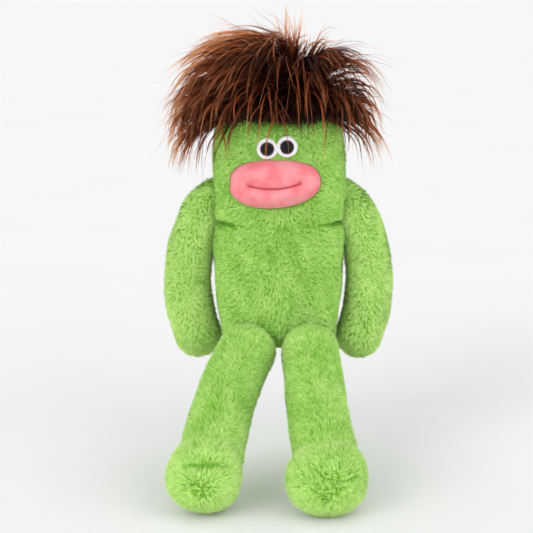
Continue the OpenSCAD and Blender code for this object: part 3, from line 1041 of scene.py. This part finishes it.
def hair_guides(group, rng):
    """The middle lines of a group's locks: (locks, places, 3)."""
    count = group.locks
    places = 28
    azimuth = np.radians(rng.uniform(*group.azimuth, count))
    share = np.sqrt(rng.uniform(group.root[0] ** 2, group.root[1] ** 2, count))
    root = scalp_place(azimuth, share)

    def between(ends, jitter):
        near, far = ends
        return near + (far - near) * share ** 1.3 + rng.normal(0, jitter, count)

    rise = np.radians(between(group.rise, 6))
    fall = np.radians(between(group.fall, 9))
    bend = np.maximum(between(group.bend, 0.06), 0.3)[:, None]
    length = between(group.length, 0) * rng.uniform(0.86, 1.12, count) * MM
    heading = azimuth + np.radians(rng.normal(0, group.spread, count))
    swirl = np.radians(rng.normal(0, 24, count))
    steps = ((np.arange(places - 1) + 0.5) / (places - 1))[None]
    lift = rise[:, None] + (fall - rise)[:, None] * steps ** bend
    lift += 0.10 * np.sin(steps * 9 + rng.uniform(0, 6.3, (count, 1)))
    way = heading[:, None] + swirl[:, None] * steps
    way += 0.10 * np.sin(steps * 7 + rng.uniform(0, 6.3, (count, 1)))
    moves = np.stack([np.cos(lift) * np.cos(way), np.cos(lift) * np.sin(way), np.sin(lift)], -1)
    moves *= (length / (places - 1))[:, None, None]
    path = np.concatenate([root[:, None], root[:, None] + np.cumsum(moves, axis=1)], axis=1)
    return inside_the_dome(path, rng.uniform(*group.limits, count))


def along_guides(guides, lock, reach):
    """Each strand's places on its lock's middle line, out to its reach."""
    samples = guides.shape[1]
    where = reach[:, None] * STRAND_STEPS[None] * (samples - 1)
    low = np.minimum(where.astype(int), samples - 2)
    part = (where - low)[..., None]
    return guides[lock[:, None], low] * (1 - part) + guides[lock[:, None], low + 1] * part


def hair_strands(group, rng):
    """Strand paths (strands, places, 3), their radii, tones, and how far along they look."""
    guides = hair_guides(group, rng)
    locks, samples, _ = guides.shape
    strands = locks * group.strands
    lock = np.repeat(np.arange(locks), group.strands)
    offset = rng.normal(0, 1, (strands, 1, 3))
    reach = 1.02 - 0.15 * norm(offset, axis=-1)[:, 0] + rng.normal(0, 0.05, strands)
    reach = reach.clip(0.4, 1.0)
    path = along_guides(guides, lock, reach)

    tangent = unit(np.gradient(path, axis=1))
    offset = offset - tangent * dot(offset, tangent)
    width = group.width * MM * rng.uniform(0.6, 1.4, locks)[lock]
    along = STRAND_STEPS[:, None]
    path = path + offset * width[:, None, None] * 0.70 * (1 - 0.96 * along ** 0.9)
    stray = (rng.random(strands) < group.stray)[:, None, None]
    path = path + stray * (rng.normal(0, 1, (strands, 1, 3)) * along ** 1.8) * 0.0105
    phase = rng.uniform(0, 6.3, (strands, 1, 1))
    wave = np.sin(along * rng.uniform(5, 11, (strands, 1, 1)) + phase)
    path = path + 0.0007 * wave * rng.normal(0, 1, (strands, 1, 3)) * along
    path = off_the_head(path, group.clearance * MM)

    radii = STRAND_RADIUS * rng.uniform(0.75, 1.3, strands)[:, None]
    radii = radii * (1 - 0.78 * STRAND_STEPS ** 1.6)
    tone = group.tone + rng.normal(0, 0.26, locks)[lock]
    tone += 0.30 * ripple(guides[:, samples // 2], 0.034, 77)[lock]
    tone += rng.normal(0, 0.18, strands) + 0.25 * stray[:, 0, 0]
    # Painted light: strands near the fan's outline get a paler colour, as if lit through against
    # the backdrop.
    outline_glow = near_outline(path)
    tone = (tone[:, None] - 0.13 + 0.58 * outline_glow).clip(0, 1)
    fade = (group.fade * reach[:, None] * STRAND_STEPS[None] + 0.24 * outline_glow).clip(0, 1)
    return path, radii, tone, fade


def near_outline(path):
    """From 0 to 1, how near places are to the fan's outline, where the hair thins out and gets
    painted light.
    """
    away = path - DOME_MIDDLE
    across = away[..., 0] / DOME_HALF[0]
    up = away[..., 2].clip(0) / DOME_HALF[2]
    return smoothstep(np.hypot(across, up), 0.70, 1.06)


def make_hair(name, node, groups, seed):
    rng = np.random.default_rng(seed)
    parts = [hair_strands(group, rng) for group in groups]
    path, radii, tone, along = (np.concatenate(p) for p in zip(*parts))
    hair = sew(name, path, radii, 3, rng, HAIR, along=along, tone=tone)
    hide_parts(node)
    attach(hair, "head")


class Locks(NamedTuple):
    """A group of hair locks. Azimuths are in degrees round the whorl: 0 own left, 90 back,
    180 own right, 270 front. Roots are shares of the way from the whorl to the cap's edge.
    rise, fall, length and bend each give the value at the whorl and at the cap's edge.
    """
    locks: int
    strands: int  # in each lock
    azimuth: tuple
    root: tuple
    rise: tuple  # degrees above level at the root
    fall: tuple  # degrees above level at the tip
    length: tuple  # millimetres
    bend: tuple  # the less, the sooner a lock turns over from rise to fall
    spread: float  # degrees
    width: float  # millimetres
    tone: float = 0.31
    fade: float = 1.0
    limits: tuple = (0.90, 1.03)  # shares of the hair's rounded outline
    clearance: float = 3.0  # millimetres off the head
    stray: float = 0.14  # share of the strands


HAIR_GROUPS = {
    "hair_right": [
        Locks(92, 18, (142, 236), (0.4, 1), (102, 54), (-58, -84), (150, 84), (1, 0.66),
              10, 3.4, limits=(0.8, 1.02)),
        Locks(44, 16, (148, 222), (0.2, 0.75), (104, 84), (-52, -70), (158, 128), (1, 0.85),
              10, 3.2, limits=(0.8, 0.97)),
        # A side fan at the outline: its higher tone is painted light, paler as if lit through.
        Locks(30, 12, (160, 226), (0.8, 1), (38, 24), (-71, -80), (95, 85), (0.55, 0.5),
              14, 2.3, tone=0.62, limits=(0.93, 1.1)),
    ],
    "hair_left": [
        Locks(46, 14, (-56, 42), (0.4, 1), (96, 50), (-54, -80), (128, 80), (0.9, 0.66),
              12, 2.7, tone=0.46, limits=(0.7, 0.94)),
        # A side fan at the outline: its higher tone is painted light, paler as if lit through.
        Locks(18, 9, (-50, 20), (0.8, 1), (38, 24), (-68, -76), (88, 80), (0.6, 0.55),
              14, 1.9, tone=0.55, limits=(0.95, 1.12)),
    ],
    "hair_back": [
        Locks(100, 15, (42, 142), (0.3, 1), (88, 16), (-80, -94), (98, 62), (1, 0.7),
              12, 3.4, limits=(0.82, 0.98)),
    ],
    "hair_top": [
        Locks(46, 16, (125, 240), (0, 0.55), (108, 98), (-44, -66), (160, 150), (1.05, 1),
              14, 3.2, limits=(0.82, 0.98)),
        Locks(28, 13, (-65, 80), (0, 0.5), (102, 90), (-46, -64), (124, 116), (0.95, 0.9),
              18, 2.6, tone=0.44, stray=0.26, limits=(0.7, 0.92)),
        Locks(50, 13, (0, 360), (0, 0.5), (96, 88), (5, -40), (96, 82), (1.9, 1.6),
              40, 3, tone=0.3, limits=(0.88, 1)),
        Locks(15, 13, (0, 360), (0, 0.14), (92, 92), (66, 66), (101, 101), (1.4, 1.4),
              60, 1.9, tone=0.85, stray=0.2, limits=(1.2, 1.4)),
    ],
    "hair_crown": [
        # A low tone and fade keep these strands near black: painted shade for the hair deep under
        # the outer locks.
        Locks(100, 16, (0, 360), (0, 1), (90, 60), (-50, -84), (62, 44), (1, 0.9),
              30, 5, tone=0.08, fade=0.4),
    ],
    "hair_fringe": [
        # A low tone and fade: painted shade for the hair low at the front, under the overhanging
        # locks.
        Locks(46, 15, (192, 348), (0, 0.5), (100, 88), (-66, -80), (136, 116), (1, 0.92),
              12, 3.2, clearance=5, tone=0.06, fade=0.6, limits=(0.8, 0.98)),
        Locks(26, 10, (200, 340), (0.1, 0.6), (94, 80), (-80, -84), (160, 130), (0.95, 0.85),
              18, 1.5, clearance=8, tone=0.5),
        # Short dark strands at the front hairline, with a low tone and fade: painted shade.
        Locks(70, 14, (222, 318), (0.6, 1), (85, 48), (-92, -88), (64, 17), (1, 0.9),
              26, 3.4, clearance=4, tone=0.03, fade=0.36),
        Locks(24, 8, (208, 322), (0.4, 0.9), (84, 60), (-78, -80), (146, 112), (0.8, 0.62),
              22, 0.9, clearance=8, tone=0.95, stray=0.1),
    ],
}


# ==== studio ====

def make_floor():
    corners = np.array([[-400.0, -400, 0], [400, -400, 0], [400, 400, 0], [-400, 400, 0]])
    verts = corners + UP * (cad_low.z - 0.004)
    build_mesh("studio_floor", verts, [np.array([[0, 1, 2, 3]])], studio_paper())


def make_sun(name, energy, place, spread):
    """A sun, spread degrees wide, that shines from a place onto the figure."""
    data = bpy.data.lights.new(name, "SUN")
    data.energy = energy
    data.angle = math.radians(spread)
    sun = new_object(name, data)
    sun.location = place
    sun.rotation_mode = "QUATERNION"
    sun.rotation_quaternion = (Vector((0, 0, 0.12)) - Vector(place)).to_track_quat("-Z", "Y")


def make_studio():
    make_floor()
    make_sun("key_sun", 0.98, (-1.2, -1.4, 1.0), 34)
    make_sun("side_sun", 0.88, (1.4, -1.2, 0.8), 60)
    make_sun("low_sun", 0.85, (-0.3, -1.8, 0.15), 60)
    world = bpy.data.worlds.new("studio_world")
    world.use_nodes = True
    background = world.node_tree.nodes["Background"]
    background.inputs["Color"].default_value = linear(250, 250, 251)
    background.inputs["Strength"].default_value = 0.735
    scene = bpy.context.scene
    scene.world = world
    scene.view_settings.view_transform = "Standard"


def make_camera():
    data = bpy.data.cameras.new("camera")
    data.sensor_width = 36
    data.lens = 102.9
    data.clip_start = 0.05
    data.clip_end = 2000
    camera = new_object("camera", data)
    camera.location = (-0.012, -1.5, 0.344)
    camera.rotation_euler = (math.radians(90 - 10.04), 0, 0)
    bpy.context.scene.camera = camera


make_column()
for number, side_name in enumerate(SIDES):
    make_arm(side_name, 200 + 50 * number)
    make_leg(side_name, 300 + 50 * number)
make_muzzle()
make_smile()
make_eye("left", 3)
make_eye("right", 8)
make_closing_stitches()
make_scalp()
for number, (node_name, groups) in enumerate(HAIR_GROUPS.items()):
    make_hair(node_name + "_locks", node_name, groups, 500 + 10 * number)
make_studio()
make_camera()
